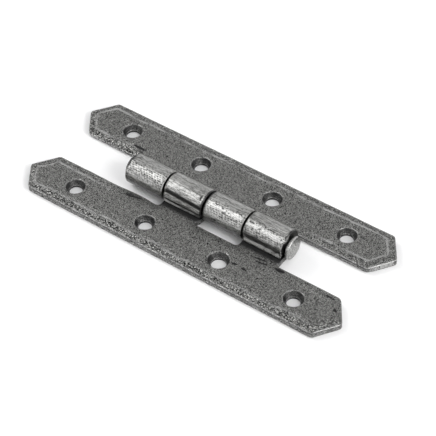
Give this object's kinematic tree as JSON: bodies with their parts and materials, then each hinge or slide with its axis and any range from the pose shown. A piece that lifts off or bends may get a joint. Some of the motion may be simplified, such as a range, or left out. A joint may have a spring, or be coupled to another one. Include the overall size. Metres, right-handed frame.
{
  "type": "h hinge",
  "caption": "H-shaped surface hinge: long leaves with pointed ends and countersunk screw holes, joined by a short barrel of rolled knuckles on a headed pin.",
  "frame": {"origin": "on the back plane of the hinge lying open, under the middle of the leaves; the pin's axis passes 4.26 mm above it", "axes": "+X along the pin towards its head, +Y from the pin towards the back leaf, +Z out of the front faces of the leaves"},
  "size_m": [0.1014, 0.0406, 0.0085],
  "materials": {
    "leaf_steel": "hammered border, dark grey pewter patina, knuckles rubbed bright",
    "pin_steel": "plain grey steel, hammered head"
  },
  "bodies": {
    "back": {"back_leaf": "leaf_steel", "hinge_pin": "pin_steel"},
    "front": {"front_leaf": "leaf_steel"}
  },
  "joints": [
    {"name": "leaf_swing", "type": "hinge", "parent": "back", "child": "front", "pos_m": [0, 0, 0.00426], "axis": [-1, 0, 0], "range_deg": [-110, 192]}
  ]
}
